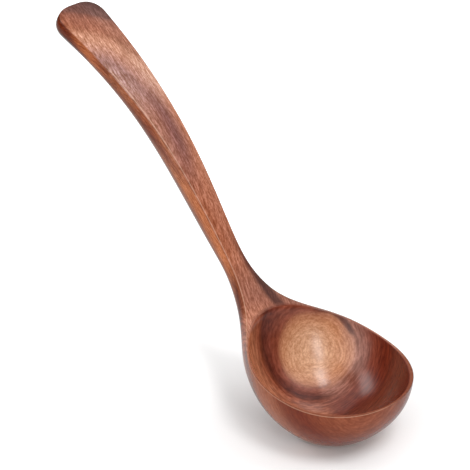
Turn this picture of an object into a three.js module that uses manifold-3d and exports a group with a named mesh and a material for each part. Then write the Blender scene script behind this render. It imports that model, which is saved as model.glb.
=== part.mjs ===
// A wooden ladle carved from one blank: a deep round bowl and a swept handle with a broad grip.
// Millimetres. +Z is up, +X points to the front of the bowl and the handle rises towards -X.
// The origin is the middle of the flat foot under the bowl.

import * as THREE from 'three';
import { ParametricGeometry } from 'three/addons/geometries/ParametricGeometry.js';
import { mergeGeometries, mergeVertices } from 'three/addons/utils/BufferGeometryUtils.js';
import Module from 'manifold-3d';

// Bowl
const bowlWidth = 90; // across the rim at its widest place
const bowlFront = 47; // widest place to the front tip
const rimHeight = 42; // rim at its widest place, above the foot
const frontDrop = 3.4; // fall of the rim from there to the front tip
const frontFullness = 2.15; // plan of the front: 2 is an ellipse, more is squarer
const footTrim = 1.2; // depth of the round bottom that the foot takes off

// Hollow
const lip = 1.3; // wood between the hollow and the outside at the rim
const floorThickness = 6; // wood between the hollow and the foot
const hollowBack = 49; // widest place to the hollow's back edge on the shoulder
const hollowSweep = 72; // degrees of arc from the hollow's bottom to its edge
const hollowOverrun = 0.6; // the arc goes on this far above the rim, for a clean cut
const hollowWall = 40; // and a straight wall goes on from there

// Top line, from the rim's widest place along the middle of the handle's upper face
const handleReach = 211.5; // how far back the handle ends
const handleRise = 158.5; // how far up it ends
const rimSlope = 8.3; // degrees, where the line leaves the bowl
const rimPull = 105; // length of the curve's tangent there
const endSlope = 24; // degrees, at the end of the handle
const endPull = 160; // length of the curve's tangent there

// Width of the upper face, at places measured along the top line
const shoulderRun = 47.5; // how long the rim keeps its width before it draws in
const neckAt = 91.5;
const neckWidth = 11.4;
const neckRunIn = 52; // how long the neck keeps its width towards the bowl
const neckRunOut = 23; // the same towards the grip
const gripWidth = 33.2;
const gripFlare = 8.3; // width gained along the last stretch of the grip
const gripRun = 47; // length of that stretch
const topCrown = 0.9; // rise of the upper face between its two edges

// Thickness below the upper face, at places measured along the top line
const bellyRun = 34; // how long the underside stays level before it rises
const waistAt = 85.5;
const waistThickness = 12.4;
const waistRunIn = 58; // how long the waist keeps its thickness towards the bowl
const swellRun = 80; // how far past the waist the shaft is pulled out
const shaftSwell = 12.8; // how far it is pulled out there
const gripThickness = 16.3;
const gripRunUnder = 96; // how far ahead of the end the underside is pulled in
const gripScoop = 6.1; // how far it is pulled in there

// Sections
const squareFrom = 38; // from here on the sections stand square to the top line
const bowlSectionsTo = 25; // up to here they are half ellipses
const handleSectionsFrom = 70; // from here on they have the handle's fuller sides
const handleFullness = 2.4;
const sideBulge = 0.18; // share of the half width

// Rounded end of the grip
const endRound = 13;
const endFullness = 2.3; // 2 rounds it as an ellipse, more is squarer
const endWidth = 8; // of the flat middle of the end
const endThickness = 8.8;
const endDome = 0.6;

// Facets
const shaftSteps = 34;
const endSteps = 6;
const underSteps = 24; // even, so that the front of the bowl shares its points
const topSteps = 6;
const frontSteps = 20;
const hollowTurns = 48;
const hollowRings = 10;
const halvings = 40; // steps of a search along a curve

const { degToRad, lerp, smoothstep } = THREE.MathUtils;
const wasm = await Module();
wasm.setup();

// The top line behind the rim's widest place, drawn in the plane of symmetry as (x, z).
const lineStart = new THREE.Vector2(0, rimHeight);
const lineEnd = new THREE.Vector2(-handleReach, rimHeight + handleRise);
const topLine = new THREE.CubicBezierCurve(
  lineStart,
  slopeStep(rimSlope, rimPull).add(lineStart),
  slopeStep(endSlope, -endPull).add(lineEnd),
  lineEnd,
);
const lineLength = topLine.getLength();

// Outlines drawn along the top line as (place, half width) and (place, thickness).
const widthOutline = [
  outline([0, bowlWidth / 2], [shoulderRun, bowlWidth / 2], [neckAt - neckRunIn, neckWidth / 2],
    [neckAt, neckWidth / 2]),
  outline([neckAt, neckWidth / 2], [neckAt + neckRunOut, neckWidth / 2],
    [lineLength - gripRun, (gripWidth - gripFlare) / 2], [lineLength, gripWidth / 2]),
];
const bellyDepth = rimHeight + footTrim;
const levelBelly = bellyDepth + bellyRun * Math.tan(degToRad(rimSlope));
const thicknessOutline = [
  outline([0, bellyDepth], [bellyRun, levelBelly], [waistAt - waistRunIn, waistThickness],
    [waistAt, waistThickness]),
  outline([waistAt, waistThickness], [waistAt + swellRun, waistThickness + shaftSwell],
    [lineLength - gripRunUnder, gripThickness - gripScoop], [lineLength, gripThickness]),
];

// A step along a line that rises towards -X.
function slopeStep(degrees, length) {
  const angle = degToRad(degrees);
  return new THREE.Vector2(-Math.cos(angle), Math.sin(angle)).multiplyScalar(length);
}

function outline(...points) {
  return new THREE.CubicBezierCurve(...points.map(([x, y]) => new THREE.Vector2(x, y)));
}

// The point where a test on a curve's points turns from true to false.
function pointWhere(curve, isBefore) {
  let low = 0;
  let high = 1;
  for (let halving = 0; halving < halvings; halving += 1) {
    const middle = (low + high) / 2;
    if (isBefore(curve.getPoint(middle))) low = middle;
    else high = middle;
  }
  return curve.getPoint(high);
}

// Height of an outline over a place on its base line.
function outlineAt(curves, place) {
  const curve = curves.find((each) => place <= each.v3.x) ?? curves.at(-1);
  return pointWhere(curve, (point) => point.x < place).y;
}

// 1 along the handle, falling to 0 over the rounded end.
function endFall(place) {
  const share = Math.max(0, (place - lineLength + endRound) / endRound);
  return Math.max(0, 1 - share ** endFullness) ** (1 / endFullness);
}

function halfWidthAt(place) {
  const share = lerp(endWidth / gripWidth, 1, endFall(place));
  return outlineAt(widthOutline, place) * share;
}

function thicknessAt(place) {
  const share = lerp(endThickness / gripThickness, 1, endFall(place));
  return outlineAt(thicknessOutline, place) * share;
}

// Middle of the upper face at a place, and the direction from it to the underside.
function lineFrame(place) {
  const share = Math.min(1, place / lineLength);
  const point = topLine.getPointAt(share);
  const tangent = topLine.getTangentAt(share);
  const tilt = Math.atan2(tangent.y, -tangent.x) * smoothstep(place, 0, squareFrom);
  return {
    middle: new THREE.Vector3(point.x, 0, point.y),
    down: new THREE.Vector3(-Math.sin(tilt), 0, -Math.cos(tilt)),
  };
}

// A point of the underside. The turn runs from 0 at one upper edge to PI at the other.
function underPoint(place, turn, target) {
  const { middle, down } = lineFrame(place);
  const handleShare = smoothstep(place, bowlSectionsTo, handleSectionsFrom);
  const power = 2 / lerp(2, handleFullness, handleShare);
  const depthShare = Math.abs(Math.sin(turn)) ** power;
  const widthShare = Math.sign(Math.cos(turn)) * Math.abs(Math.cos(turn)) ** power;
  const bulge = 1 + sideBulge * handleShare * 4 * depthShare * (1 - depthShare);
  target.copy(middle).addScaledVector(down, thicknessAt(place) * depthShare);
  target.y = halfWidthAt(place) * widthShare * bulge;
}

// A point of the upper face. The side runs from -1 at one edge to 1 at the other.
function topPoint(place, side, target) {
  const { middle, down } = lineFrame(place);
  const crown = topCrown * smoothstep(place, hollowBack, neckAt) * endFall(place);
  target.copy(middle).addScaledVector(down, -crown * (1 - side * side));
  target.y = halfWidthAt(place) * side;
}

// Once round a section: under the ladle from -Y to +Y, then back over the upper face.
const ringSteps = underSteps + topSteps;
function ringPoint(place, round, target) {
  const step = round * ringSteps;
  if (step <= underSteps) underPoint(place, Math.PI * (1 - step / underSteps), target);
  else topPoint(place, 1 - 2 * (step - underSteps) / topSteps, target);
}

// From the rim's widest place to the end, with closer sections over the rounded end.
const lengthSteps = shaftSteps + endSteps;
function placeOf(along) {
  const step = along * lengthSteps;
  const shaftLength = lineLength - endRound;
  if (step <= shaftSteps) return shaftLength * step / shaftSteps;
  return shaftLength + endRound * Math.sin((step - shaftSteps) / endSteps * Math.PI / 2);
}

// Height of the rim and of the shoulder behind it.
function rimHeightAt(x) {
  if (x < 0) return pointWhere(topLine, (point) => point.x > x).y;
  const share = x / bowlFront;
  const fall = share * (1 - share) * bowlFront * Math.tan(degToRad(rimSlope));
  return rimHeight - fall - share * share * frontDrop;
}

// A point of the rim in front. The turn runs from -PI / 2 at -Y over the front tip to PI / 2.
function frontRim(turn, target) {
  const power = 2 / frontFullness;
  const x = bowlFront * Math.abs(Math.cos(turn)) ** power;
  const y = bowlWidth / 2 * Math.sign(turn) * Math.abs(Math.sin(turn)) ** power;
  target.set(x, y, rimHeightAt(x));
}

function bodySkin(along, round, target) {
  ringPoint(placeOf(along), round, target);
}

function endSkin(inward, round, target) {
  const { middle, down } = lineFrame(lineLength);
  const centre = middle.addScaledVector(down, endThickness / 2);
  centre.add(new THREE.Vector3(down.z, 0, -down.x).multiplyScalar(endDome));
  ringPoint(lineLength, round, target);
  target.lerp(centre, inward);
}

function frontSkin(downward, across, target) {
  const turn = downward * Math.PI / 2;
  frontRim((across - 0.5) * Math.PI, target);
  target.x *= Math.cos(turn);
  target.y *= Math.cos(turn);
  target.z = lerp(target.z, -footTrim, Math.sin(turn));
}

function frontTopSkin(forward, across, target) {
  frontRim((1 - forward) * Math.PI / 2, target);
  target.y *= 2 * across - 1;
}

// The hollow: an oval spherical cap whose edge follows the rim, with a straight wall above it.
const hollowFrontReach = bowlFront - lip;
const hollowMiddle = (hollowFrontReach - hollowBack) / 2;
const hollowHalfLength = (hollowFrontReach + hollowBack) / 2;
const hollowHalfWidth = bowlWidth / 2 - lip;

function hollowSkin(round, upward, target) {
  const turn = round * Math.PI * 2;
  const step = upward * (hollowRings + 2);
  const edgeSweep = degToRad(hollowSweep);
  const sweep = edgeSweep * Math.min(1, step / hollowRings);
  const lidShare = Math.max(0, step - hollowRings - 1);
  const reach = Math.sin(sweep) / Math.sin(edgeSweep) * (1 - lidShare);
  const rise = (1 - Math.cos(sweep)) / (1 - Math.cos(edgeSweep));
  const edge = rimHeightAt(hollowMiddle + hollowHalfLength * Math.cos(turn)) + hollowOverrun;
  const wall = hollowWall * Math.min(1, Math.max(0, step - hollowRings));
  const lid = rimHeight + hollowWall;
  target.set(
    hollowMiddle + hollowHalfLength * Math.cos(turn) * reach,
    hollowHalfWidth * Math.sin(turn) * reach,
    lerp(lerp(floorThickness, edge, rise) + wall, lid, lidShare),
  );
}

// Joins surfaces that share their border points into one closed solid.
function solid(...surfaces) {
  const bare = surfaces.map((surface) => {
    surface.deleteAttribute('normal');
    surface.deleteAttribute('uv');
    return surface;
  });
  const merged = mergeVertices(mergeGeometries(bare));
  const corners = [...merged.index.array];
  const triVerts = [];
  for (let first = 0; first < corners.length; first += 3) {
    const [a, b, c] = corners.slice(first, first + 3);
    if (a !== b && b !== c && c !== a) triVerts.push(a, b, c);
  }
  return new wasm.Manifold(new wasm.Mesh({
    numProp: 3,
    vertProperties: merged.attributes.position.array,
    triVerts: new Uint32Array(triVerts),
  }));
}

// A box that covers everything on one side of a level plane.
function levelBlock(bottom, height) {
  const span = 4 * (handleReach + bowlFront);
  return solid(new THREE.BoxGeometry(span, span, height).translate(0, 0, bottom + height / 2));
}

function meshOf(name, shape, material) {
  const { vertProperties, triVerts } = shape.getMesh();
  const geometry = new THREE.BufferGeometry();
  geometry.setAttribute('position', new THREE.BufferAttribute(vertProperties, 3));
  geometry.setIndex(new THREE.BufferAttribute(triVerts, 1));
  geometry.computeVertexNormals();
  const mesh = new THREE.Mesh(geometry, material);
  mesh.name = name;
  return mesh;
}

const blank = solid(
  new ParametricGeometry(bodySkin, lengthSteps, ringSteps),
  new ParametricGeometry(endSkin, 1, ringSteps),
  new ParametricGeometry(frontSkin, underSteps / 2, frontSteps),
  new ParametricGeometry(frontTopSkin, frontSteps / 2, topSteps),
);
const hollow = solid(new ParametricGeometry(hollowSkin, hollowTurns, hollowRings + 2));
const carved = blank.subtract(hollow).subtract(levelBlock(-bellyDepth, bellyDepth));

// The blank is named in two regions that meet on a level plane through the neck.
const neckHeight = Math.round(topLine.getPointAt(neckAt / lineLength).y);
const aboveNeck = levelBlock(neckHeight, 2 * handleRise);

const bowlWood = new THREE.MeshStandardMaterial({ color: 0x8a4b2c, roughness: 0.42, metalness: 0 });
const handleWood = new THREE.MeshStandardMaterial({ color: 0x96573a, roughness: 0.45, metalness: 0 });

const ladle = new THREE.Group();
ladle.name = 'ladle';
ladle.add(meshOf('bowl', carved.subtract(aboveNeck), bowlWood));
ladle.add(meshOf('handle', carved.intersect(aboveNeck), handleWood));

export default ladle;
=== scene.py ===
import math
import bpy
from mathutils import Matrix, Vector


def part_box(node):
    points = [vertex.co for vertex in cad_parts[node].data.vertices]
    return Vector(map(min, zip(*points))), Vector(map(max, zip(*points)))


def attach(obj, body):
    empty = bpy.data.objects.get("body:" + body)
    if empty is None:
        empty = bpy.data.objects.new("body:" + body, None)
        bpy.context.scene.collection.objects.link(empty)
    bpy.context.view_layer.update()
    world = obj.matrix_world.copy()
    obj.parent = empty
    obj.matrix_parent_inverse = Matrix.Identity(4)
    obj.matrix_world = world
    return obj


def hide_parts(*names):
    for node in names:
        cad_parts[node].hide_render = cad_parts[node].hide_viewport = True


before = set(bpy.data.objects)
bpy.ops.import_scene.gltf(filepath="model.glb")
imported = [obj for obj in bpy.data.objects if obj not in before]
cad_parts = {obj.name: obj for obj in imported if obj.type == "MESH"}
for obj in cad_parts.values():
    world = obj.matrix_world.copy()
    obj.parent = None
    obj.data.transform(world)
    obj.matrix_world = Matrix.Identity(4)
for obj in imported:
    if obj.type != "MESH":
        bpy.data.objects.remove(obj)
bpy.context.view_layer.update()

from types import SimpleNamespace

import bmesh
import bpy
import numpy as np
from mathutils import Vector, geometry

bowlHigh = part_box("bowl")[1]

# the carved blank, in metres and degrees
# places are measured along the top line from the rim's widest point
blank = {
    "halfWidth": bowlHigh.y,
    "front": bowlHigh.x,
    "rimHeight": 0.042,
    "frontDrop": 0.0034,
    "frontFullness": 2.15,
    "footTrim": 0.0012,
    "reach": 0.2115,
    "rise": 0.1585,
    "rimSlope": 8.3,
    "rimPull": 0.105,
    "endSlope": 24,
    "endPull": 0.16,
    "shoulderRun": 0.0475,
    "neckAt": 0.0915,
    "neckWidth": 0.0114,
    "neckRunIn": 0.052,
    "neckRunOut": 0.023,
    "gripWidth": 0.0332,
    "gripFlare": 0.0083,
    "gripRun": 0.047,
    "topCrown": 0.0009,
    "bellyRun": 0.034,
    "waistAt": 0.0855,
    "waistThickness": 0.0124,
    "waistRunIn": 0.058,
    "swellRun": 0.08,
    "shaftSwell": 0.0128,
    "gripThickness": 0.0163,
    "gripRunUnder": 0.096,
    "gripScoop": 0.0061,
    "squareFrom": 0.038,
    "bowlSectionsTo": 0.025,
    "handleSectionsFrom": 0.07,
    "handleFullness": 2.4,
    "sideBulge": 0.18,
    "endRound": 0.013,
    "endFullness": 2.3,
    "endWidth": 0.008,
    "endThickness": 0.0088,
    "endDome": 0.0006,
}

# sweeps are degrees out from the middle of the floor, as seen from the cap's centre
hollow = {
    "lip": 0.0013,
    "floor": 0.006,
    "back": 0.049,
    "sweep": 72,
    "edgeRows": (0.8, 3.6),  # degrees from the edge to its first row: rim, shoulder
    "shoulderRounds": (110, 165),  # degrees round from the front, between those two rows
    "sweeps": (66, 59, 52, 45, 38, 31, 24, 17),
}

# columns run round the rim: the front, along the side, then across the shoulder
cage = {
    "frontColumns": 14,
    "sideColumns": 13,
    "chordPlace": 0.06,
    "chordSides": (1, 0.95, 0.72, 0.46, 0.22, 0),
    "wallTurns": (8, 17, 26, 35, 44, 52),
    "underTurns": (52, 60, 68, 75.5, 83, 90),
    "lowerRows": 6,
    "arrisRow": 0.0006,
    "endArrisRow": 0.0022,
    "softEndFrom": 0.05,
    "handleFrom": 0.066,
    "handleSteps": 21,
    "endSteps": 6,
    "rowShare": 1 / 3,  # the most that a row beside an edge takes of the gap
    "hollowRow": 0.0025,
    "arrisShare": 0.125,  # the same for the arris, of the handle's thickness
    "wallGather": 5,  # the higher, the later a column draws in on its way down
    "lowerGather": 1.6,
    "footHalvings": 30,
    "curveSteps": 800,
    "tiltStep": 0.0005,
    "roundings": 2,
}


def clampShare(value, low, high):
    return min(1, max(0, (value - low) / (high - low)))


def smoothShare(value, low, high):
    share = clampShare(value, low, high)
    return share * share * (3 - 2 * share)


def mix(a, b, share):
    return a + (b - a) * share


def slopeStep(degrees, length):
    return Vector((-math.cos(math.radians(degrees)), math.sin(math.radians(degrees)))) * length


def curvePoints(*points):
    return geometry.interpolate_bezier(*[Vector(point) for point in points], cage["curveSteps"])


# middle of the upper face, drawn in the plane of symmetry as (x, z)
lineStart = Vector((0, blank["rimHeight"]))
lineEnd = Vector((-blank["reach"], blank["rimHeight"] + blank["rise"]))
linePoints = curvePoints(
    lineStart,
    lineStart + slopeStep(blank["rimSlope"], blank["rimPull"]),
    lineEnd - slopeStep(blank["endSlope"], blank["endPull"]),
    lineEnd,
)
lineX = [point.x for point in linePoints]
lineZ = [point.y for point in linePoints]
linePlaces = [0]
for before, after in zip(linePoints, linePoints[1:]):
    linePlaces.append(linePlaces[-1] + (after - before).length)
lineLength = linePlaces[-1]

neckHalf = blank["neckWidth"] / 2
widthOutline = curvePoints(
    (0, blank["halfWidth"]),
    (blank["shoulderRun"], blank["halfWidth"]),
    (blank["neckAt"] - blank["neckRunIn"], neckHalf),
    (blank["neckAt"], neckHalf),
) + curvePoints(
    (blank["neckAt"], neckHalf),
    (blank["neckAt"] + blank["neckRunOut"], neckHalf),
    (lineLength - blank["gripRun"], (blank["gripWidth"] - blank["gripFlare"]) / 2),
    (lineLength, blank["gripWidth"] / 2),
)[1:]
bellyDepth = blank["rimHeight"] + blank["footTrim"]
levelBelly = bellyDepth + blank["bellyRun"] * math.tan(math.radians(blank["rimSlope"]))
thicknessOutline = curvePoints(
    (0, bellyDepth),
    (blank["bellyRun"], levelBelly),
    (blank["waistAt"] - blank["waistRunIn"], blank["waistThickness"]),
    (blank["waistAt"], blank["waistThickness"]),
) + curvePoints(
    (blank["waistAt"], blank["waistThickness"]),
    (blank["waistAt"] + blank["swellRun"], blank["waistThickness"] + blank["shaftSwell"]),
    (lineLength - blank["gripRunUnder"], blank["gripThickness"] - blank["gripScoop"]),
    (lineLength, blank["gripThickness"]),
)[1:]


def outlineAt(outline, place):
    return float(np.interp(place, [point.x for point in outline], [point.y for point in outline]))


def endFall(place):
    share = clampShare(place, lineLength - blank["endRound"], lineLength)
    return max(0, 1 - share ** blank["endFullness"]) ** (1 / blank["endFullness"])


def halfWidthAt(place):
    share = mix(blank["endWidth"] / blank["gripWidth"], 1, endFall(place))
    return outlineAt(widthOutline, place) * share


def thicknessAt(place):
    share = mix(blank["endThickness"] / blank["gripThickness"], 1, endFall(place))
    return outlineAt(thicknessOutline, place) * share


def lineAt(place):
    x, z = [float(np.interp(place, linePlaces, values)) for values in (lineX, lineZ)]
    return Vector((x, 0, z))


def downAt(place):
    step = cage["tiltStep"]
    run = lineAt(min(place + step, lineLength)) - lineAt(max(place - step, 0))
    tilt = math.atan2(run.z, -run.x) * smoothShare(place, 0, blank["squareFrom"])
    return Vector((-math.sin(tilt), 0, -math.cos(tilt)))


def handleShareAt(place):
    return smoothShare(place, blank["bowlSectionsTo"], blank["handleSectionsFrom"])


def sectionPower(place):
    return 2 / mix(2, blank["handleFullness"], handleShareAt(place))


# a point of the outside; the turn runs from 0 at the upper edge to 90 under the middle
def underPoint(place, turn, side=1):
    power = sectionPower(place)
    deep = math.sin(math.radians(turn)) ** power
    wide = max(0, math.cos(math.radians(turn))) ** power
    bulge = 1 + blank["sideBulge"] * handleShareAt(place) * 4 * deep * (1 - deep)
    point = lineAt(place) + downAt(place) * thicknessAt(place) * deep
    point.y = halfWidthAt(place) * wide * bulge * side
    return point


def topPoint(place, side):
    crown = blank["topCrown"] * smoothShare(place, hollow["back"], blank["neckAt"]) * endFall(place)
    point = lineAt(place) - downAt(place) * crown * (1 - side * side)
    point.y = halfWidthAt(place) * side
    return point


def rimHeightAt(x):
    if x < 0:
        return float(np.interp(-x, [-value for value in lineX], lineZ))
    share = x / blank["front"]
    fall = share * (1 - share) * blank["front"] * math.tan(math.radians(blank["rimSlope"]))
    return blank["rimHeight"] - fall - share * share * blank["frontDrop"]


def frontPoint(around, turn, side=1):
    power = 2 / blank["frontFullness"]
    x = blank["front"] * max(0, math.cos(math.radians(around))) ** power
    y = blank["halfWidth"] * math.sin(math.radians(around)) ** power * side
    flat = math.cos(math.radians(turn))
    height = mix(rimHeightAt(x), -blank["footTrim"], math.sin(math.radians(turn)))
    return Vector((x * flat, y * flat, height))


def turnAtDepth(place, depth):
    return math.degrees(math.asin((depth / thicknessAt(place)) ** (1 / sectionPower(place))))


# the hollow: an oval cap whose edge follows the rim
hollowReach = blank["front"] - hollow["lip"]
hollowMiddle = (hollowReach - hollow["back"]) / 2
hollowHalfLength = (hollowReach + hollow["back"]) / 2
hollowHalfWidth = blank["halfWidth"] - hollow["lip"]


def hollowPoint(around, sweep):
    edge = math.radians(hollow["sweep"])
    reach = math.sin(math.radians(sweep)) / math.sin(edge)
    rise = (1 - math.cos(math.radians(sweep))) / (1 - math.cos(edge))
    edgeHeight = rimHeightAt(hollowMiddle + hollowHalfLength * math.cos(around))
    return Vector((
        hollowMiddle + hollowHalfLength * math.cos(around) * reach,
        hollowHalfWidth * math.sin(around) * reach,
        mix(hollow["floor"], edgeHeight, rise),
    ))


def ontoHollow(point):
    across = Vector(((point.x - hollowMiddle) / hollowHalfLength, point.y / hollowHalfWidth))
    reach = across.length * math.sin(math.radians(hollow["sweep"]))
    return hollowPoint(math.atan2(across.y, across.x), math.degrees(math.asin(reach)))


chordColumn = cage["frontColumns"] + cage["sideColumns"]
backColumn = chordColumn + len(cage["chordSides"]) - 1
columns = 2 * backColumn
nearColumn = columns - chordColumn
lastTurn = cage["wallTurns"][-1]


# columns past the back are the mirror image of those before it
def mirrored(column):
    return (column, 1) if column <= backColumn else (columns - column, -1)


def sidePlace(half):
    return cage["chordPlace"] * min(1, (half - cage["frontColumns"]) / cage["sideColumns"])


def frontRound(half):
    return 90 * half / cage["frontColumns"]


def rimPoint(column):
    half, side = mirrored(column)
    if half < cage["frontColumns"]:
        return frontPoint(frontRound(half), 0, side)
    if half <= chordColumn:
        return underPoint(sidePlace(half), 0, side)
    return topPoint(cage["chordPlace"], cage["chordSides"][half - chordColumn] * side)


def wallPlace(half, turn):
    return sidePlace(half) * (1 - (turn / 90) ** cage["wallGather"])


def wallPoint(column, turn):
    half, side = mirrored(column)
    if half < cage["frontColumns"]:
        return frontPoint(frontRound(half), turn, side)
    return underPoint(wallPlace(half, turn), turn, side)


def arrisPoint(column):
    half = mirrored(column)[0]
    place = 0 if half < cage["frontColumns"] else sidePlace(half)
    return wallPoint(column, turnAtDepth(place, cage["arrisRow"]))


# from the last wall row on, a column heads for the middle of the foot and stops at its flat
def lowerPoint(column, share):
    half, side = mirrored(column)
    startTurn = cage["underTurns"][max(0, half - chordColumn)]
    turn = mix(startTurn, 90, share)
    if half < cage["frontColumns"]:
        return frontPoint(frontRound(half), turn, side)
    place = wallPlace(half, lastTurn) * (1 - share ** cage["lowerGather"])
    return underPoint(place, turn, side)


def footShare(column):
    low, high = 0, 1
    for _ in range(cage["footHalvings"]):
        middle = (low + high) / 2
        low, high = (middle, high) if lowerPoint(column, middle).z > 0 else (low, middle)
    return low


def footRowPoint(column, row):
    point = lowerPoint(column, footShares[column] * row / cage["lowerRows"])
    if row == cage["lowerRows"]:
        point.z = 0
    return point


def towardsHollow(column, fromHollow):
    outer = rimPoint(column)
    inner = hollowPoint(rounds[column], hollow["sweep"])
    half = mirrored(column)[0]
    gap = (outer - inner).length
    most = cage["rowShare"]
    backShare = smoothShare(half, chordColumn + 1, backColumn)
    nearArris = mix(min(most, cage["arrisRow"] / gap), most, backShare)
    nearHollow = 1 - min(most, cage["hollowRow"] / gap)
    share = nearHollow if fromHollow else nearArris
    point = outer.lerp(inner, share)
    lift = (outer.z - rimHeightAt(outer.x)) * (1 - share)
    point.z = rimHeightAt(point.x) + lift
    return point


def edgeRowPoint(column):
    low, high = [math.radians(degrees) for degrees in hollow["shoulderRounds"]]
    backShare = smoothShare(abs(rounds[column]), low, high)
    return hollowPoint(rounds[column], hollow["sweep"] - mix(*hollow["edgeRows"], backShare))


def growRing(mesh, ring, placeOf):
    edges = [mesh.edges.get(pair) for pair in zip(ring, ring[1:] + ring[:1])]
    grown = bmesh.ops.extrude_edge_only(mesh, edges=edges)["geom"]
    fresh = {part for part in grown if isinstance(part, bmesh.types.BMVert)}
    following = []
    for vert in ring:
        neighbours = [edge.other_vert(vert) for edge in vert.link_edges]
        following.append(next(neighbour for neighbour in neighbours if neighbour in fresh))
    for index, vert in enumerate(following):
        vert.co = placeOf(index)
    return following


# closes a ring with a square net of faces and gives back its new points
def closeRing(mesh, ring, corners):
    old = set(mesh.verts)
    edges = []
    for start, end in corners:
        edges += [mesh.edges.get((ring[at], ring[at + 1])) for at in range(start, end)]
    bmesh.ops.grid_fill(mesh, edges=edges)
    return [vert for vert in mesh.verts if vert not in old]


def handleRow(place):
    endShare = smoothShare(place, lineLength - cage["softEndFrom"], lineLength - blank["endRound"])
    arrisRow = mix(cage["arrisRow"], cage["endArrisRow"], endShare)
    shrink = (1 - arrisRow / halfWidthAt(place)) / cage["chordSides"][1]
    sides = [1] + [side * shrink for side in cage["chordSides"][1:]]
    sideRow = min(arrisRow, thicknessAt(place) * cage["arrisShare"])
    turns = [turnAtDepth(place, sideRow), *cage["wallTurns"]]
    top = [topPoint(place, side) for side in sides]
    top += [topPoint(place, -side) for side in sides[-2::-1]]
    near = [underPoint(place, turn, -1) for turn in turns]
    far = [underPoint(place, turn, 1) for turn in reversed(turns)]
    under = [underPoint(place, turn, -1) for turn in cage["underTurns"][1:]]
    under += [underPoint(place, turn, 1) for turn in cage["underTurns"][-2:0:-1]]
    return top + near + under + far


rounds = []
for column in range(columns):
    outer = rimPoint(column)
    rounds.append(math.atan2(outer.y / hollowHalfWidth, (outer.x - hollowMiddle) / hollowHalfLength))
footShares = [footShare(column) for column in range(columns)]

mesh = bmesh.new()
depthLayer = mesh.verts.layers.float.new("depth")  # below the handle's upper face
wearLayer = mesh.verts.layers.float.new("wear")  # 1 on the arris
insideLayer = mesh.verts.layers.float.new("inside")  # 1 in the hollow
bmesh.ops.create_circle(mesh, segments=columns, radius=blank["halfWidth"])
rim = list(mesh.verts)
for column, vert in enumerate(rim):
    vert.co = rimPoint(column)

ring = growRing(mesh, rim, lambda column: towardsHollow(column, False))
ring = growRing(mesh, ring, lambda column: towardsHollow(column, True))
ring = growRing(mesh, ring, lambda column: hollowPoint(rounds[column], hollow["sweep"]))
hollowVerts = list(ring)
ring = growRing(mesh, ring, edgeRowPoint)
hollowVerts += ring
for sweep in hollow["sweeps"]:
    ring = growRing(mesh, ring, lambda column: hollowPoint(rounds[column], sweep))
    hollowVerts += ring
eighth = columns // 8
quarters = [(eighth, 3 * eighth), (5 * eighth, 7 * eighth)]
for vert in closeRing(mesh, ring, quarters):
    vert.co = ontoHollow(vert.co)
    hollowVerts.append(vert)
print("hollow carved")

wallRings = [rim, growRing(mesh, rim, arrisPoint)]
for turn in cage["wallTurns"]:
    wallRings.append(growRing(mesh, wallRings[-1], lambda column: wallPoint(column, turn)))
for column in range(chordColumn, nearColumn + 1):
    wallRings[-1][column].co = lowerPoint(column, 0)
ring = wallRings[-1]
for row in range(1, cage["lowerRows"] + 1):
    ring = growRing(mesh, ring, lambda column: footRowPoint(column, row))
closeRing(mesh, ring, quarters)
print("outside of the bowl shaped")

# the wall opens behind the shoulder, and the handle grows out of that opening
sector = {vert for wallRing in wallRings for vert in wallRing[chordColumn:nearColumn + 1]}
doorway = [face for face in mesh.faces if all(vert in sector for vert in face.verts)]
border = [rim[column] for column in range(chordColumn, nearColumn + 1)]
border += [wallRing[nearColumn] for wallRing in wallRings[1:]]
border += [wallRings[-1][column] for column in range(nearColumn - 1, chordColumn, -1)]
border += [wallRing[chordColumn] for wallRing in reversed(wallRings[1:])]
bmesh.ops.delete(mesh, geom=doorway, context="FACES")
shaftEnd = lineLength - blank["endRound"]
places = [float(place) for place in np.linspace(cage["handleFrom"], shaftEnd, cage["handleSteps"])]
for step in range(1, cage["endSteps"] + 1):
    arc = math.sin(math.pi / 2 * step / cage["endSteps"])
    places.append(shaftEnd + blank["endRound"] * arc)
topEdges = nearColumn - chordColumn
arris = rim[:chordColumn + 1] + rim[nearColumn:]
depths = {}
for place in places:
    row = handleRow(place)
    border = growRing(mesh, border, lambda index: row[index])
    depths.update({vert: (vert.co - lineAt(place)).dot(downAt(place)) for vert in border})
    if place < lineLength - cage["softEndFrom"]:
        arris += [border[0], border[topEdges]]
sideEdges = len(wallRings) - 1
underStart = topEdges + sideEdges
endNet = closeRing(mesh, border, [(0, topEdges), (underStart, underStart + topEdges)])
for vert in endNet:
    depths[vert] = (vert.co - lineAt(lineLength)).dot(downAt(lineLength))
    vert.co += Vector((downAt(lineLength).z, 0, -downAt(lineLength).x)) * blank["endDome"]
bmesh.ops.recalc_face_normals(mesh, faces=mesh.faces)
for vert, depth in depths.items():
    vert[depthLayer] = depth
for vert in arris:
    vert[wearLayer] = 1
for vert in hollowVerts:
    vert[insideLayer] = 1
print("handle drawn out, cage faces", len(mesh.faces))


def addObject(name, data):
    added = bpy.data.objects.new(name, data)
    bpy.context.scene.collection.objects.link(added)
    return added


cageData = bpy.data.meshes.new("ladleCage")
mesh.to_mesh(cageData)
mesh.free()
cageObject = addObject("ladleCage", cageData)
rounding = cageObject.modifiers.new("rounding", "SUBSURF")
rounding.levels = rounding.render_levels = cage["roundings"]
bpy.context.view_layer.update()
graph = bpy.context.evaluated_depsgraph_get()
carved = bpy.data.meshes.new_from_object(cageObject.evaluated_get(graph))
bpy.data.objects.remove(cageObject)
bpy.data.meshes.remove(cageData)


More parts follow.
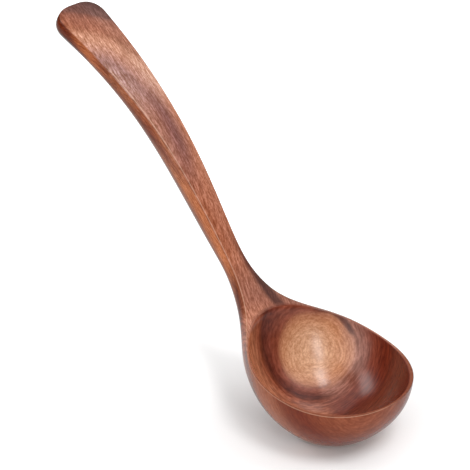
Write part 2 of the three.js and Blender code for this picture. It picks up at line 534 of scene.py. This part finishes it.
# one half of the carved blank, cut square at the level plane in the neck and closed there
def cutPiece(name, keepBelow):
    half = bmesh.new()
    half.from_mesh(carved)
    half.normal_update()
    upLayer = half.verts.layers.float.new("looksUp")
    for vert in half.verts:
        vert[upLayer] = vert.normal.z
    cut = bmesh.ops.bisect_plane(
        half,
        geom=half.verts[:] + half.edges[:] + half.faces[:],
        plane_co=(0, 0, bowlHigh.z),
        plane_no=(0, 0, 1),
        clear_outer=keepBelow,
        clear_inner=not keepBelow,
    )["geom_cut"]
    seam = [part for part in cut if isinstance(part, bmesh.types.BMEdge)]
    bmesh.ops.edgeloop_fill(half, edges=seam)
    bmesh.ops.recalc_face_normals(half, faces=half.faces)
    for face in half.faces:
        face.smooth = True
    for edge in seam:
        edge.smooth = False
    data = bpy.data.meshes.new(name)
    half.to_mesh(data)
    half.free()
    piece = addObject(name, data)
    print(name, "faces", len(data.polygons))
    return piece


bowlPiece = cutPiece("carvedBowl", True)
handlePiece = cutPiece("carvedHandle", False)
bpy.data.meshes.remove(carved)


def addNode(tree, kind, inputs=None, **settings):
    node = tree.nodes.new("ShaderNode" + kind)
    for name, value in settings.items():
        setattr(node, name, value)
    for key, value in (inputs or {}).items():
        if isinstance(value, bpy.types.NodeSocket):
            tree.links.new(value, node.inputs[key])
        else:
            node.inputs[key].default_value = value
    return node


def calc(tree, operation, *values):
    return addNode(tree, "Math", dict(enumerate(values)), operation=operation).outputs[0]


def addUp(tree, first, *more):
    for value in more:
        first = calc(tree, "ADD", first, value)
    return first


def times(tree, first, *more):
    for value in more:
        first = calc(tree, "MULTIPLY", first, value)
    return first


def restOf(tree, share):
    return calc(tree, "SUBTRACT", 1, share)


def smoothStep(tree, value, span):
    inputs = {0: value, 1: span[0], 2: span[1]}
    return addNode(tree, "MapRange", inputs, interpolation_type="SMOOTHSTEP").outputs[0]


# 1 where the two are the same, falling to 0 where they are the first width apart
def meeting(tree, first, second, widths):
    apart = calc(tree, "ABSOLUTE", calc(tree, "SUBTRACT", first, second))
    return smoothStep(tree, apart, widths)


def dotWith(tree, vector, way):
    return addNode(tree, "VectorMath", {0: vector, 1: way}, operation="DOT_PRODUCT").outputs["Value"]


def rampOf(tree, value, span, stops):
    low, high = span
    share = addNode(tree, "MapRange", {0: value, 1: low, 2: high}).outputs[0]
    ramp = addNode(tree, "ValToRGB", {0: share})
    elements = ramp.color_ramp.elements
    while len(elements) < len(stops):
        elements.new(1)
    for element, (place, colour) in zip(elements, stops):
        element.position = (place - low) / (high - low)
        element.color = (*colour, 1)
    return ramp.outputs[0]


def mixValues(tree, share, first, second):
    return addNode(tree, "Mix", {0: share, 2: first, 3: second}).outputs[0]


def mixColours(tree, share, first, second, blend="MIX"):
    node = addNode(tree, "Mix", {0: share, 6: first, 7: second}, data_type="RGBA", blend_type=blend)
    return node.outputs[2]


def tinted(tree, share, colour, tint):
    return mixColours(tree, share, colour, (*tint, 1), "MULTIPLY")


# how the wood has grown, in metres: layers that curve past the bowl, and a flame up the handle
grain = {
    "handleFrom": (0.064, 0.086),
    "shoulderFrom": (0.046, 0.052),
    "frontWay": (0.71, 0.71, 0),
    "frontFrom": (-0.009, 0.007),
    "waver": (30, 0.0006),  # turns to the metre, and how far
    "mottle": (70, 0.0012),  # the same near the end of the handle
    "cloudSpread": 4,  # the noise keeps near its middle
    "along": (-0.72, 0, 0.69),
    "layerMiddle": (-0.032, 0.022, 0.031),
    "layerNormal": (0.72, -0.47, 0.54),
    "layerBends": (0.9, 2.4, -3.7),  # along the grain, twisted, and across it
    "bandLean": 0.065,  # the dark band of the hollow climbs away from the layers
    "bandFrom": (0.0038, 0.0105),
    "flameMiddle": -0.142,
    "flameBends": (10.5, 5),  # towards the end, and towards the bowl
    "flameDepth": 1.8,
    "fibreBends": (-2, 2),
}


# an even wandering to either side of 0
def cloudOf(tree, place, turns, reach):
    cloud = addNode(tree, "TexNoise", {"Vector": place, "Scale": turns, "Detail": 1}).outputs[0]
    spread = grain["cloudSpread"] * reach
    return calc(tree, "MULTIPLY_ADD", cloud, spread, -spread / 2)


# what the rest of the wood goes by: where a point lies, and on which part of the ladle
def readSurface(tree):
    place = addNode(tree, "TexCoord").outputs["Object"]
    at = SimpleNamespace(place=place)
    at.x, at.y, at.z = addNode(tree, "SeparateXYZ", {0: place}).outputs
    at.depth, at.wear, at.inside, at.looksUp = [
        addNode(tree, "Attribute", attribute_name=name).outputs["Fac"]
        for name in ("depth", "wear", "inside", "looksUp")
    ]
    at.outside = restOf(tree, at.inside)
    at.onHandle = smoothStep(tree, at.z, grain["handleFrom"])
    at.onShoulder = times(tree, smoothStep(tree, at.z, grain["shoulderFrom"]), at.outside)
    at.onFront = smoothStep(tree, dotWith(tree, place, grain["frontWay"]), grain["frontFrom"])
    at.waver, at.mottle = [cloudOf(tree, place, *grain[name]) for name in ("waver", "mottle")]
    return at


def growLayers(tree, at):
    fromMiddle = {0: at.place, 1: grain["layerMiddle"]}
    offset = addNode(tree, "VectorMath", fromMiddle, operation="SUBTRACT").outputs[0]
    along = dotWith(tree, offset, grain["along"])
    sideways = addNode(tree, "SeparateXYZ", {0: offset}).outputs["Y"]
    layers = addUp(tree, dotWith(tree, offset, grain["layerNormal"]), at.waver)
    pairs = ((along, along), (along, sideways), (sideways, sideways))
    for bend, pair in zip(grain["layerBends"], pairs):
        layers = calc(tree, "MULTIPLY_ADD", times(tree, *pair), bend, layers)
    at.along, at.layers = along, layers
    steep = grain["bandLean"]
    climb = calc(tree, "MULTIPLY_ADD", at.z, -steep, steep * hollow["floor"])
    lean = times(tree, climb, smoothStep(tree, layers, grain["bandFrom"]))
    at.banded = addUp(tree, layers, lean)


# the field swept back on each side of where the run is 0
def bentBoth(tree, field, run, bends):
    for side, bend in zip(("MINIMUM", "MAXIMUM"), bends):
        reached = calc(tree, side, run, 0)
        field = calc(tree, "MULTIPLY_ADD", times(tree, reached, reached), bend, field)
    return field


def growFlame(tree, at):
    run = calc(tree, "SUBTRACT", at.x, grain["flameMiddle"])
    across = calc(tree, "MULTIPLY_ADD", at.depth, grain["flameDepth"], addUp(tree, at.y, at.waver))
    at.flame = bentBoth(tree, across, run, grain["flameBends"])
    at.fibre = bentBoth(tree, across, run, grain["fibreBends"])


# colours of the bowl, layer by layer
bowlTones = {
    "span": (-0.002, 0.078),
    "shoulderNormal": (0.3, 0.6),  # how far a face looks up
    "back": (
        (-0.0010, (0.58, 0.325, 0.19)),
        (0.0010, (0.54, 0.29, 0.165)),
        (0.0026, (0.45, 0.205, 0.103)),
        (0.0036, (0.36, 0.142, 0.068)),
        (0.0046, (0.2, 0.048, 0.023)),
        (0.0055, (0.165, 0.038, 0.019)),
        (0.0062, (0.118, 0.024, 0.013)),
        (0.0072, (0.07, 0.013, 0.007)),
        (0.0088, (0.18, 0.042, 0.018)),
        (0.0115, (0.25, 0.07, 0.03)),
        (0.0170, (0.39, 0.132, 0.062)),
    ),
    # the front side of the hollow: darker layers of the wood with painted shade in them
    "front": (
        (-0.0010, (0.58, 0.325, 0.19)),
        (0.0010, (0.53, 0.27, 0.15)),
        (0.0028, (0.46, 0.2, 0.095)),
        (0.0046, (0.41, 0.18, 0.1)),
        (0.0060, (0.27, 0.108, 0.07)),
        (0.0078, (0.22, 0.074, 0.045)),
        (0.0120, (0.158, 0.03, 0.013)),
        (0.0180, (0.114, 0.015, 0.005)),
        (0.0280, (0.105, 0.014, 0.005)),
        (0.0450, (0.096, 0.01, 0.003)),
    ),
    "shoulder": (
        (0.0040, (0.19, 0.09, 0.065)),
        (0.0060, (0.215, 0.08, 0.049)),
        (0.0090, (0.225, 0.077, 0.044)),
        (0.0120, (0.34, 0.13, 0.074)),
        (0.0200, (0.275, 0.113, 0.071)),
        (0.0340, (0.17, 0.045, 0.02)),
    ),
    "wall": (
        (0.0030, (0.17, 0.04, 0.013)),
        (0.0060, (0.075, 0.014, 0.006)),
        (0.0100, (0.2, 0.047, 0.018)),
        (0.0160, (0.23, 0.063, 0.029)),
        (0.0220, (0.1, 0.018, 0.006)),
        (0.0320, (0.25, 0.068, 0.024)),
        (0.0420, (0.24, 0.068, 0.028)),
        (0.0500, (0.14, 0.024, 0.007)),
        (0.0600, (0.12, 0.017, 0.005)),
        (0.0720, (0.2, 0.05, 0.021)),
    ),
}


def bowlColour(tree, at):
    span = bowlTones["span"]
    back = rampOf(tree, at.banded, span, bowlTones["back"])
    front, shoulder, wall = [
        rampOf(tree, at.layers, span, bowlTones[name]) for name in ("front", "shoulder", "wall")
    ]
    facesUp = smoothStep(tree, at.looksUp, bowlTones["shoulderNormal"])
    outer = mixColours(tree, facesUp, wall, shoulder)
    # the front side of the hollow takes the darker ramp, which holds painted shade
    inner = mixColours(tree, at.onFront, back, front)
    return mixColours(tree, at.inside, outer, inner)


# colours of the handle's upper face: the flame in its lower and higher part, the neck and the tip;
# the higher part's colours carry a painted sheen, greyer and paler, over paler wood
handleTones = {
    "span": (-0.014, 0.026),
    "low": (
        (-0.0100, (0.3, 0.13, 0.085)),
        (-0.0060, (0.25, 0.1, 0.066)),
        (-0.0025, (0.185, 0.067, 0.051)),
        (0.0002, (0.15, 0.053, 0.042)),
        (0.0020, (0.18, 0.063, 0.045)),
        (0.0045, (0.26, 0.096, 0.06)),
        (0.0080, (0.32, 0.112, 0.057)),
        (0.0150, (0.31, 0.107, 0.052)),
        (0.0240, (0.28, 0.1, 0.055)),
    ),
    # paler wood with a painted sheen greying it
    "high": (
        (-0.0120, (0.36, 0.2, 0.162)),
        (-0.0065, (0.28, 0.148, 0.122)),
        (-0.0030, (0.24, 0.118, 0.097)),
        (0.0010, (0.32, 0.154, 0.114)),
        (0.0055, (0.385, 0.188, 0.128)),
        (0.0105, (0.43, 0.21, 0.132)),
        (0.0135, (0.4, 0.185, 0.112)),
        (0.0175, (0.31, 0.125, 0.068)),
        (0.0230, (0.25, 0.085, 0.043)),
    ),
    "highFrom": (-0.132, -0.156),
    "neck": (0.295, 0.102, 0.054),
    "neckFrom": (-0.125, -0.092),
    "tipWay": (-1, 0.7, 0),
    "tipSpan": (0.18, 0.22),
    "tip": (
        (0.1850, (0.28, 0.096, 0.05)),
        (0.1960, (0.24, 0.08, 0.043)),
        (0.2005, (0.2, 0.067, 0.039)),
        (0.2035, (0.12, 0.043, 0.029)),
        (0.2100, (0.1, 0.036, 0.026)),
        (0.2160, (0.07, 0.023, 0.017)),
    ),
    "tipFrom": (0.183, 0.194),
}


def handleColour(tree, at):
    span = handleTones["span"]
    low = rampOf(tree, at.flame, span, handleTones["low"])
    high = rampOf(tree, addUp(tree, at.flame, at.mottle), span, handleTones["high"])
    colour = mixColours(tree, smoothStep(tree, at.x, handleTones["highFrom"]), low, high)
    neckShare = smoothStep(tree, at.x, handleTones["neckFrom"])
    colour = mixColours(tree, neckShare, colour, (*handleTones["neck"], 1))
    toTip = addUp(tree, dotWith(tree, at.place, handleTones["tipWay"]), at.mottle)
    tip = rampOf(tree, toTip, handleTones["tipSpan"], handleTones["tip"])
    return mixColours(tree, smoothStep(tree, toTip, handleTones["tipFrom"]), colour, tip)


# the handle's sides against its upper face: painted shade, darker on the higher part and near the
# end, and less grey than the painted sheen of the upper face; a painted sheen, paler and greyer, on
# the far half
sideShadeAndSheen = {
    "from": (0.0003, 0.001),  # depth at which the side face starts
    "low": (1.28, 1.2, 0.84),
    "high": (0.76, 0.45, 0.23),
    "highFrom": (-0.112, -0.14),
    "under": (1.45, 1.6, 1.7),
    "underFrom": (0.0045, 0.009),
    # painted shade darkening the sides near the end, with darker wood there too
    "end": (0.52, 0.42, 0.36),
    "endFrom": (-0.178, -0.2),
    # painted sheen on the far half of the handle
    "far": (1.05, 1.17, 1.26),
    "farSheenFrom": (0, 0.008),
}


def paintSideShadeAndSheen(tree, at, colour):
    # painted shade on the sides, and painted sheen on the far half
    highShare = smoothStep(tree, at.x, sideShadeAndSheen["highFrom"])
    tone = mixColours(tree, highShare, (*sideShadeAndSheen["low"], 1), (*sideShadeAndSheen["high"], 1))
    underShare = times(tree, highShare, smoothStep(tree, at.depth, sideShadeAndSheen["underFrom"]))
    tone = tinted(tree, underShare, tone, sideShadeAndSheen["under"])
    tone = tinted(tree, smoothStep(tree, at.x, sideShadeAndSheen["endFrom"]), tone, sideShadeAndSheen["end"])
    sideShare = smoothStep(tree, at.depth, sideShadeAndSheen["from"])
    colour = mixColours(tree, sideShare, colour, tone, "MULTIPLY")
    return tinted(tree, smoothStep(tree, at.y, sideShadeAndSheen["farSheenFrom"]), colour, sideShadeAndSheen["far"])


# dark streaks on the far side: along the shoulder, and down into the hollow
streaks = {
    "tint": (0.3, 0.2, 0.19),
    "shoulderLine": (0.016, 0.138),  # y at x = 0, and its slope
    "shoulderWidth": (0.0048, 0.0014),
    "shoulderFrom": (-0.088, -0.07),
    "hollowLayer": 0.0054,
    "hollowWidth": (0.0011, 0.0003),
    "hollowFrom": (0.036, 0.042),
    "hollowSide": (0.024, 0.033),
}


def addStreaks(tree, at, colour):
    start, slope = streaks["shoulderLine"]
    middle = calc(tree, "MULTIPLY_ADD", at.x, slope, start)
    alongShoulder = times(
        tree,
        at.onShoulder,
        smoothStep(tree, at.x, streaks["shoulderFrom"]),
        meeting(tree, at.y, middle, streaks["shoulderWidth"]),
    )
    downHollow = times(
        tree,
        at.inside,
        smoothStep(tree, at.z, streaks["hollowFrom"]),
        smoothStep(tree, at.y, streaks["hollowSide"]),
        meeting(tree, at.layers, streaks["hollowLayer"], streaks["hollowWidth"]),
    )
    return tinted(tree, addUp(tree, alongShoulder, downHollow), colour, streaks["tint"])


# marks drawn out along the figure: length, width, light tint and dark tint of each kind
marks = {
    "bands": (0.016, 0.0014, (1.1, 1.14, 1.18), (0.88, 0.82, 0.78)),
    "fibres": (0.0055, 0.0009, (1.24, 1.34, 1.44), (0.76, 0.65, 0.57)),
    "pores": (0.002, 0.0006, (1.2, 1.26, 1.32), (0.76, 0.67, 0.6)),
    "detail": 3,
    "roughness": 0.6,
    "span": (0.34, 0.66),
    "ringsTo": 0.0045,  # marks crowd where a layer lies along the hollow
    "ringsFade": (0.00225, 0.00675),
    "ringSqueeze": 1.2,
    "ringLengths": (0.6, 1.8),  # among the rings, and beyond them
    "ringCalm": 0.45,
    "wallCalm": 0.45,
    "wallCalmFrom": (0.02, 0.034),
}


# the ways that marks run: among the rings of the hollow, beyond them, and up the handle
def markWays(tree, at):
    crowded = times(tree, calc(tree, "MINIMUM", at.layers, marks["ringsTo"]), at.inside)
    rings = calc(tree, "MULTIPLY_ADD", crowded, marks["ringSqueeze"], at.layers)
    ways = []
    for length in marks["ringLengths"]:
        shorter = calc(tree, "MULTIPLY_ADD", at.inside, 1 / length - 1, 1)
        ways.append((times(tree, at.along, shorter), rings, times(tree, at.y, shorter)))
    ways.append((at.along, at.fibre, at.y))
    return [addNode(tree, "CombineXYZ", dict(enumerate(way))).outputs[0] for way in ways]


def markNoise(tree, way, length, width):
    pitch = (1 / length, 1 / width, 1 / length)
    drawn = addNode(tree, "VectorMath", {0: way, 1: pitch}, operation="MULTIPLY").outputs[0]
    return addNode(tree, "TexNoise", {
        "Vector": drawn,
        "Scale": 1,
        "Detail": marks["detail"],
        "Roughness": marks["roughness"],
    }).outputs[0]


# gives back the colour with its marks, and the noise of the pores
def addMarks(tree, at, colour):
    beyond = smoothStep(tree, at.layers, marks["ringsFade"])
    amongRings = times(tree, at.inside, restOf(tree, beyond))
    farWall = smoothStep(tree, at.layers, marks["wallCalmFrom"])
    calmWall = times(tree, at.outside, farWall, restOf(tree, at.onHandle))
    strength = calc(tree, "MULTIPLY_ADD", amongRings, -marks["ringCalm"], 1)
    strength = calc(tree, "MULTIPLY_ADD", calmWall, -marks["wallCalm"], strength)
    ways = markWays(tree, at)
    for name in ("bands", "fibres", "pores"):
        length, width, pale, dark = marks[name]
        inRings, inBowl, upHandle = [markNoise(tree, way, length, width) for way in ways]
        noise = mixValues(tree, amongRings, inBowl, inRings)
        noise = mixValues(tree, at.onShoulder, noise, upHandle)
        darkShare = smoothStep(tree, noise, marks["span"])
        tint = mixColours(tree, darkShare, (*pale, 1), (*dark, 1))
        colour = mixColours(tree, strength, colour, tint, "MULTIPLY")
    return colour, noise


# edges: a painted highlight on somewhat paler worn wood along the near arris; painted shade on the
# far arris, and where the near side turns under on faces that look down
edgeGlintAndShade = {
    "from": (0.35, 1),
    "nearSide": (0.012, -0.012),
    # painted highlight on the near arris, with paler worn wood
    "pale": (0.6, 0.38, 0.26),
    "paleShares": (0.4, 0.5),  # on the rim and on the handle
    # painted shade on the far arris
    "far": (0.45, 0.42, 0.45),
    # painted shade where the near side turns under, on faces that look down
    "under": (0.4, 0.35, 0.38),
    "underNormal": (0.05, -0.3),
    "underSide": (-0.001, -0.004),
}


def wearEdges(tree, at, colour):
    onEdge = smoothStep(tree, at.wear, edgeGlintAndShade["from"])
    nearEdge = times(tree, onEdge, smoothStep(tree, at.y, edgeGlintAndShade["nearSide"]))
    farEdge = calc(tree, "SUBTRACT", onEdge, nearEdge)
    underEdge = times(
        tree,
        at.onShoulder,
        smoothStep(tree, at.looksUp, edgeGlintAndShade["underNormal"]),
        smoothStep(tree, at.y, edgeGlintAndShade["underSide"]),
    )
    # painted shade on the far arris and under the near side, then the painted highlight along the
    # near arris
    colour = tinted(tree, farEdge, colour, edgeGlintAndShade["far"])
    colour = tinted(tree, underEdge, colour, edgeGlintAndShade["under"])
    rimShare, handleShare = edgeGlintAndShade["paleShares"]
    mostPale = calc(tree, "MULTIPLY_ADD", at.onHandle, handleShare - rimShare, rimShare)
    return mixColours(tree, times(tree, nearEdge, mostPale), colour, (*edgeGlintAndShade["pale"], 1))


polish = {
    "roughness": 0.2,
    "roughnessDrift": 0.08,
    "specular": 0.14,
    "coatRoughness": 0.24,
    "hollowCoat": 0.62,
    # the dark layer at the back of the hollow takes less of the coat
    "dullLayer": 0.0072,
    "dullWidth": (0.0034, 0.0012),
    "dullShare": 0.85,
    "bumpStrength": 0.04,
    "bumpDistance": 0.0003,
}


def addPolish(tree, at, shader, noise):
    roughness = calc(tree, "MULTIPLY_ADD", noise, polish["roughnessDrift"], polish["roughness"])
    tree.links.new(roughness, shader.inputs["Roughness"])
    shader.inputs["Specular IOR Level"].default_value = polish["specular"]
    shader.inputs["Coat Roughness"].default_value = polish["coatRoughness"]
    onBand = meeting(tree, at.banded, polish["dullLayer"], polish["dullWidth"])
    dull = times(tree, onBand, restOf(tree, at.onFront))
    fullCoat = polish["hollowCoat"]
    coat = calc(tree, "MULTIPLY_ADD", dull, -polish["dullShare"] * fullCoat, fullCoat)
    tree.links.new(times(tree, at.inside, coat), shader.inputs["Coat Weight"])
    bumps = {"Strength": polish["bumpStrength"], "Distance": polish["bumpDistance"], "Height": noise}
    tree.links.new(addNode(tree, "Bump", bumps).outputs[0], shader.inputs["Normal"])


def oiledWood():
    material = bpy.data.materials.new("oiledWood")
    material.use_nodes = True
    tree = material.node_tree
    shader = tree.nodes["Principled BSDF"]
    at = readSurface(tree)
    growLayers(tree, at)
    growFlame(tree, at)
    handle = paintSideShadeAndSheen(tree, at, handleColour(tree, at))
    colour = mixColours(tree, at.onHandle, bowlColour(tree, at), handle)
    colour = addStreaks(tree, at, colour)
    colour, noise = addMarks(tree, at, colour)
    tree.links.new(wearEdges(tree, at, colour), shader.inputs["Base Color"])
    addPolish(tree, at, shader, noise)
    print("wood material made")
    return material


wood = oiledWood()
for piece, node in ((bowlPiece, "bowl"), (handlePiece, "handle")):
    piece.data.materials.append(wood)
    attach(piece, "root")
    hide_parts(node)

# floor and light
studio = {
    "white": (1, 1, 1, 1),
    "floorSize": 8,
    "floorColour": (0.86, 0.86, 0.86, 1),
    "floorLift": 0.4,  # lights nothing, but the floor looks white away from the ladle
    "floorLiftFrom": (0.06, 0.32),
    "skyStrength": 0.15,
    # azimuth and elevation that the light comes from, distance, width and height, power
    "lights": {
        "overheadSoftbox": (172, 77, 2.4, (4.4, 4.4), 59),
        "backSoftbox": (158, 44, 2.4, (2.6, 2.2), 18),
        "frontSoftbox": (4, 24, 2.4, (2, 2), 25),
        "lowWindow": (67, 29, 2, (0.36, 0.8), 10),
        "highWindow": (76, 60, 2, (0.48, 0.8), 14),
        "leftWindow": (-49, 41, 2, (1.2, 0.5), 9.5),
    },
    "lightTarget": (-0.03, 0, 0.05),
}


def direction(azimuthDegrees, elevationDegrees):
    azimuth, elevation = math.radians(azimuthDegrees), math.radians(elevationDegrees)
    flat = math.cos(elevation)
    return Vector((math.sin(azimuth) * flat, -math.cos(azimuth) * flat, math.sin(elevation)))


def palePaper():
    paper = bpy.data.materials.new("palePaper")
    paper.use_nodes = True
    tree = paper.node_tree
    shader = tree.nodes["Principled BSDF"]
    shader.inputs["Base Color"].default_value = studio["floorColour"]
    shader.inputs["Roughness"].default_value = 1
    shader.inputs["Specular IOR Level"].default_value = 0
    shader.inputs["Emission Color"].default_value = studio["white"]
    rays = addNode(tree, "LightPath").outputs
    seen = [rays[name] for name in ("Is Camera Ray", "Is Glossy Ray", "Is Transmission Ray")]
    place = addNode(tree, "TexCoord").outputs["Object"]
    away = addNode(tree, "VectorMath", {0: place}, operation="LENGTH").outputs["Value"]
    farShare = smoothStep(tree, away, studio["floorLiftFrom"])
    lift = times(tree, addUp(tree, *seen), times(tree, farShare, studio["floorLift"]))
    tree.links.new(lift, shader.inputs["Emission Strength"])
    return paper


floorMesh = bmesh.new()
bmesh.ops.create_grid(floorMesh, x_segments=1, y_segments=1, size=studio["floorSize"] / 2)
floorData = bpy.data.meshes.new("floor")
floorMesh.to_mesh(floorData)
floorMesh.free()
floor = addObject("floor", floorData)
floorData.materials.append(palePaper())

world = bpy.data.worlds.new("studio")
bpy.context.scene.world = world
world.use_nodes = True
sky = world.node_tree.nodes["Background"]
sky.inputs["Color"].default_value = studio["white"]
sky.inputs["Strength"].default_value = studio["skyStrength"]

lightTarget = Vector(studio["lightTarget"])
for name, (azimuth, elevation, distance, size, power) in studio["lights"].items():
    lamp = bpy.data.lights.new(name, "AREA")
    lamp.shape = "RECTANGLE"
    lamp.size, lamp.size_y = size
    lamp.energy = power
    softbox = addObject(name, lamp)
    softbox.location = lightTarget + direction(azimuth, elevation) * distance
    softbox.rotation_euler = direction(azimuth, elevation).to_track_quat("Z", "Y").to_euler()
print("studio lit")

# the photo's view
view = {
    "azimuth": 44.82,
    "elevation": 29.04,
    "target": (-0.0764, 0, 0.0975),
    "distance": 1.2808,
    "lens": 170.3,
    "sensorWidth": 36,
}
backward = direction(view["azimuth"], view["elevation"])
cameraData = bpy.data.cameras.new("camera")
cameraData.lens = view["lens"]
cameraData.sensor_width = view["sensorWidth"]
camera = addObject("camera", cameraData)
camera.location = Vector(view["target"]) + backward * view["distance"]
camera.rotation_euler = backward.to_track_quat("Z", "Y").to_euler()
bpy.context.scene.camera = camera
bpy.context.scene.view_settings.view_transform = "Standard"
